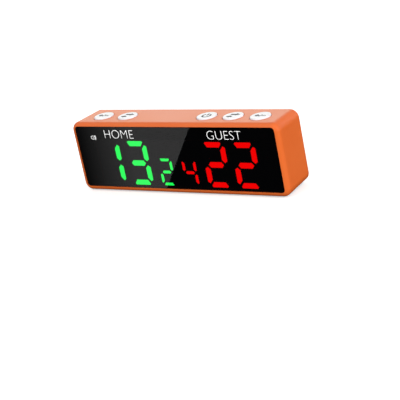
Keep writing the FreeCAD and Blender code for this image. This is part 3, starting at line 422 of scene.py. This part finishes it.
def lay_print(name, mesh, to_surface, body, finish, dished=False):
    """Thickens a flat drawing, lays it on its surface and makes it a piece that rides on a body."""
    bmesh.ops.remove_doubles(mesh, verts=mesh.verts, dist=MERGE_DISTANCE)
    bmesh.ops.recalc_face_normals(mesh, faces=mesh.faces)
    facing = sum(face.normal.z * face.calc_area() for face in mesh.faces)
    if facing < 0:
        bmesh.ops.reverse_faces(mesh, faces=mesh.faces)
    bmesh.ops.solidify(mesh, geom=mesh.faces, thickness=-INK)
    low = min(vert.co.z for vert in mesh.verts)
    bmesh.ops.translate(mesh, vec=(0, 0, -low - INK_SUNK), verts=mesh.verts)
    if dished:
        for vert in mesh.verts:
            reach = min(vert.co.xy.length, DISH_RADIUS)
            vert.co.z += DISH_BALL - math.sqrt(DISH_BALL ** 2 - reach ** 2) - DISH_DEPTH
    bmesh.ops.transform(mesh, matrix=to_surface, verts=mesh.verts)
    bmesh.ops.recalc_face_normals(mesh, faces=mesh.faces)
    data = bpy.data.meshes.new(name)
    mesh.to_mesh(data)
    mesh.free()
    data.materials.append(finish)
    piece = bpy.data.objects.new(name, data)
    bpy.context.scene.collection.objects.link(piece)
    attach(piece, body)
    print("printed", name, "with", len(data.polygons), "faces")
    return piece


# %% [markdown]
# ## Words on the window
# The two words stand above the scores, screen printed in white on the window's front. Blender's
# text object draws the letters. It is turned into a plain mesh and stretched to the word's own
# width and height, which gives the thin, wide look of display lettering.

# %% Print the words
# The glow of 0.38 is painted light that makes the white letters brighter.
white_ink = ink("screen_ink_white_painted_glow", "#F4F4F2", "#FFFFFF", glow=0.38)
WINDOW_BODY = "case"
THINNED = 0.024           # taken off each side of a stroke, as a share of the letter size
WORD_FOOT = 37.6 * MM
WORD_HEIGHT = 5.7 * MM
WORD_SPANS = {"home": (-53.0 * MM, -29.7 * MM), "guest": (27.6 * MM, 52.7 * MM)}


def on_window(x, z):
    """The matrix that stands a flat drawing up on the window's front, with its origin at x and z."""
    stand = Matrix.Rotation(math.pi / 2, 4, "X")
    return Matrix.Translation((x, window_low.y, z)) @ stand


def letters(word):
    """The word as a flat mesh with its lower left corner at the origin, one unit high and wide."""
    curve = bpy.data.curves.new(word, "FONT")
    curve.body = word.upper()
    curve.offset = -THINNED
    text = bpy.data.objects.new(word, curve)
    flat = bpy.data.meshes.new_from_object(text)
    mesh = bmesh.new()
    mesh.from_mesh(flat)
    bpy.data.objects.remove(text)
    bpy.data.curves.remove(curve)
    bpy.data.meshes.remove(flat)
    xs = [vert.co.x for vert in mesh.verts]
    ys = [vert.co.y for vert in mesh.verts]
    bmesh.ops.translate(mesh, vec=(-min(xs), -min(ys), 0), verts=mesh.verts)
    bmesh.ops.scale(mesh, vec=(1 / (max(xs) - min(xs)), 1 / (max(ys) - min(ys)), 1), verts=mesh.verts)
    return mesh


for word, (start, stop) in WORD_SPANS.items():
    mesh = letters(word)
    bmesh.ops.scale(mesh, vec=(stop - start, WORD_HEIGHT, 1.0), verts=mesh.verts)
    lay_print(word + "_word", mesh, on_window(start, WORD_FOOT), WINDOW_BODY, white_ink)

# %% [markdown]
# ## Sound symbol
# A small loudspeaker with two sound waves sits left of the first word. It shows that the buttons'
# beep is on. The loudspeaker is drawn in outline, from six strokes, and each wave is an arc.

# %% Print the sound symbol
SOUND_PLACE = (-62.5 * MM, 38.0 * MM)
FINE_STROKE = 0.26 * MM
TAIL = -2.1 * MM
THROAT = -1.3 * MM
MOUTH = -0.25 * MM
TAIL_HALF = 0.8 * MM
MOUTH_HALF = 1.45 * MM
WAVE_STROKE = 0.4 * MM
WAVE_HALF_ANGLE = math.radians(32)
mesh = bmesh.new()
stroke(mesh, (TAIL, -TAIL_HALF), (TAIL, TAIL_HALF), FINE_STROKE)
stroke(mesh, (MOUTH, -MOUTH_HALF), (MOUTH, MOUTH_HALF), FINE_STROKE)
for side in (-1, 1):
    stroke(mesh, (TAIL, side * TAIL_HALF), (THROAT, side * TAIL_HALF), FINE_STROKE)
    stroke(mesh, (THROAT, side * TAIL_HALF), (MOUTH, side * MOUTH_HALF), FINE_STROKE)
for radius in (2.25 * MM, 2.9 * MM):
    arc(mesh, THROAT, 0, radius, WAVE_STROKE, -WAVE_HALF_ANGLE, 2 * WAVE_HALF_ANGLE)
lay_print("sound_symbol", mesh, on_window(*SOUND_PLACE), WINDOW_BODY, white_ink)

# %% [markdown]
# ## Symbols on the buttons
# The outer button at each end changes a score and the one beside it swaps the sides. The button
# between them is the power switch. Each symbol is drawn about the middle of its cap from a few
# strokes, in four widths, because the real symbols mix bold and fine lines.

# %% Draw the button symbols
grey_ink = ink("pad_ink_grey", "#252833", "#343742")
STROKE = 1.2 * MM
THIN_STROKE = 0.5 * STROKE
MEDIUM_STROKE = 0.7 * STROKE
BOLD_STROKE = 1.5 * STROKE


def power_symbol():
    """A ring that is open at the top, with an upright bar through the opening."""
    mesh = bmesh.new()
    radius = 2.7 * MM
    drop = 0.3 * MM
    gap = math.radians(36)
    bar_foot = 0.2 * MM
    bar_top = 3.3 * MM
    arc(mesh, 0, -drop, radius, STROKE, math.pi / 2 + gap, 2 * (math.pi - gap))
    stroke(mesh, (0, bar_foot), (0, bar_top), STROKE)
    return mesh


def score_symbol():
    """A bold plus, a thin slash and a minus."""
    mesh = bmesh.new()
    arm = 1.5 * MM
    left = -2.4 * MM
    slash_run = 0.6 * MM
    slash_rise = 1.6 * MM
    stroke(mesh, (left - arm, 0), (left + arm, 0), STROKE)
    for side in (-1, 1):
        stroke(mesh, (left, side * STROKE / 2), (left, side * arm), STROKE)
    stroke(mesh, (-slash_run, -slash_rise), (slash_run, slash_rise), THIN_STROKE)
    stroke(mesh, (-left - arm, 0), (-left + arm, 0), MEDIUM_STROKE)
    return mesh


def swap_symbol():
    """A long arrow to the right above a shorter one to the left."""
    mesh = bmesh.new()
    head = 2.1 * MM
    row = 1.9 * MM
    upper = (1, -2.6 * MM, 3.1 * MM)
    lower = (-1, 0.2 * MM, -3.4 * MM)
    for side, tail, tip in (upper, lower):
        stroke(mesh, (tail, side * row), (tip - side * head, side * row), BOLD_STROKE)
        triangle(mesh, tip - side * head / 2, side * row, head, 0.0 if side > 0 else math.pi)
    return mesh


symbols = {
    "home_score": score_symbol,
    "home_mode": swap_symbol,
    "power": power_symbol,
    "guest_mode": swap_symbol,
    "guest_score": score_symbol,
}
for name in BUTTONS:
    on_cap = Matrix.Translation(cap_centres[name])
    lay_print(name + "_symbol", symbols[name](), on_cap, name + "_key", grey_ink, dished=True)

# %% [markdown]
# ## Floor
# The object stands on a wide pale sheet that glows a little, like a light table, so it stays white
# without the object being lit too strongly. Polished black acrylic shows whatever lies in front of
# it, so the sheet is hidden from mirror-like rays, as a photographer keeps bright paper out of a
# glossy reflection. It throws no light back onto the case either, because a low panel does that
# job and can be set on its own.

# %% Lay the floor
FLOOR_REACH = 3.0
FLOOR_GLOW = 0.45
FLOOR_SIDES = 64
mesh = bmesh.new()
bmesh.ops.create_circle(mesh, cap_ends=True, radius=FLOOR_REACH, segments=FLOOR_SIDES)
floor_data = bpy.data.meshes.new("floor")
mesh.to_mesh(floor_data)
mesh.free()
floor = bpy.data.objects.new("floor", floor_data)
bpy.context.scene.collection.objects.link(floor)
floor.visible_glossy = False
floor.visible_diffuse = False

paper, tree, place = start_material("paper_pale")
fibre = add_node(tree, "TexNoise", {"Scale": per_mm(2.0), "Detail": 4.0}, {"Vector": place})
shade = add_node(tree, "ValToRGB", links={"Fac": fibre.outputs["Fac"]})
shade.color_ramp.elements[0].color = colour("#F6F6F6")
shade.color_ramp.elements[1].color = colour("#FAFAFA")
surface = add_node(tree, "BsdfPrincipled", {
    "Roughness": 0.9,
    "Emission Color": colour("#FFFFFF"),
    "Emission Strength": FLOOR_GLOW,
}, {"Base Color": shade.outputs["Color"]})
floor_data.materials.append(end_material(paper, tree, surface))

# %% [markdown]
# ## Light
# Soft light comes from a pale room, which is bright above the horizon and dark below it so that the
# window stays black. Large soft panels light the case from the upper left, the right, low in front
# and the back. Only the yellowish one low behind it is seen in reflections: it gives the satin top its
# milky sheen, while the other sides keep their full colour.

# %% Light the room
ROOM_LEVEL = 0.45
HORIZON_BLUR = 0.01       # how far above the horizon the room reaches its full brightness
BLACK = (0.0, 0.0, 0.0, 1.0)
FULL_WHITE = (1.0, 1.0, 1.0, 1.0)
room = bpy.data.worlds.new("room")
bpy.context.scene.world = room
room.use_nodes = True
tree = room.node_tree
tree.nodes.clear()
heading = add_node(tree, "TexCoord").outputs["Generated"]
height = add_node(tree, "SeparateXYZ", links={"Vector": heading}).outputs["Z"]
above = add_node(tree, "ValToRGB", links={"Fac": height})
above.color_ramp.elements[0].position = 0.0
above.color_ramp.elements[0].color = BLACK
above.color_ramp.elements[1].position = HORIZON_BLUR
above.color_ramp.elements[1].color = FULL_WHITE
background = add_node(tree, "Background", {"Strength": ROOM_LEVEL}, {"Color": above.outputs["Color"]})
add_node(tree, "OutputWorld", links={"Surface": background.outputs["Background"]})


# %% Hang the light panels
WHITE = (1.0, 1.0, 1.0)
PALE_YELLOW = (1.0, 1.0, 0.85)


def panel(name, spot, size, power, tint=WHITE, mirrored=False):
    """A square soft light that faces the case, and whether its own reflection shows."""
    light = bpy.data.lights.new(name, "AREA")
    light.size = size
    light.energy = power
    light.color = tint
    lamp = bpy.data.objects.new(name, light)
    lamp.location = spot
    lamp.rotation_euler = (case_middle - Vector(spot)).to_track_quat("-Z", "Y").to_euler()
    lamp.visible_glossy = mirrored
    bpy.context.scene.collection.objects.link(lamp)


panel("key_panel", (-0.5, -0.7, 1.0), size=0.8, power=3.4)
panel("rim_panel", (-0.9, 1.2, 0.6), size=1.0, power=5.3, tint=PALE_YELLOW, mirrored=True)
panel("side_panel", (1.1, -0.2, 0.35), size=0.7, power=6.9)
panel("back_panel", (0.5, 1.2, 0.3), size=0.6, power=4.0)
panel("low_panel", (0.6, -1.1, 0.12), size=0.5, power=11.5)
bpy.context.scene.view_settings.view_transform = "Standard"
print("room and panels lit")

# %% [markdown]
# ## The glare on the window
# A grey card stands out in front, to the left and below the table's level. Only mirror-like rays
# see it, and those pass through the floor. Its slanting right-hand edge is what cuts the window
# into a grey half and a black half. The card darkens towards its far end.

# %% Stand the card
CARD_DEPTH = -600 * MM
CARD_TOP = -100 * MM
CARD_FOOT = -330 * MM
CARD_EDGE_TOP = -378.0 * MM
CARD_EDGE_FOOT = -529.0 * MM
CARD_FAR_END = -720 * MM
CARD_LEVEL = 0.9
CARD_DIM_LEVEL = 0.04     # at the far end, where the fade begins
CARD_DIM_PLACE = -602 * MM
CARD_FULL_PLACE = -520 * MM
mesh = bmesh.new()
corners = [
    (CARD_FAR_END, CARD_FOOT), (CARD_EDGE_FOOT, CARD_FOOT),
    (CARD_EDGE_TOP, CARD_TOP), (CARD_FAR_END, CARD_TOP),
]
mesh.faces.new([mesh.verts.new((x, CARD_DEPTH, z)) for x, z in corners])
card_data = bpy.data.meshes.new("glare_card")
mesh.to_mesh(card_data)
mesh.free()
card = bpy.data.objects.new("glare_card", card_data)
bpy.context.scene.collection.objects.link(card)
card.visible_camera = False
card.visible_diffuse = False
card.visible_shadow = False
card.visible_transmission = False

grey_card = bpy.data.materials.new("card_grey")
grey_card.use_nodes = True
tree = grey_card.node_tree
tree.nodes.clear()
along = add_node(tree, "SeparateXYZ", links={"Vector": add_node(tree, "TexCoord").outputs["Object"]})
fade = add_node(tree, "MapRange", {
    "From Min": CARD_DIM_PLACE,
    "From Max": CARD_FULL_PLACE,
    "To Min": CARD_DIM_LEVEL,
    "To Max": CARD_LEVEL,
}, {"Value": along.outputs["X"]})
glow = add_node(tree, "Emission", links={"Strength": fade.outputs["Result"]})
add_node(tree, "OutputMaterial", links={"Surface": glow.outputs["Emission"]})
card_data.materials.append(grey_card)
print("card stands at", round(CARD_DEPTH / MM), "mm")
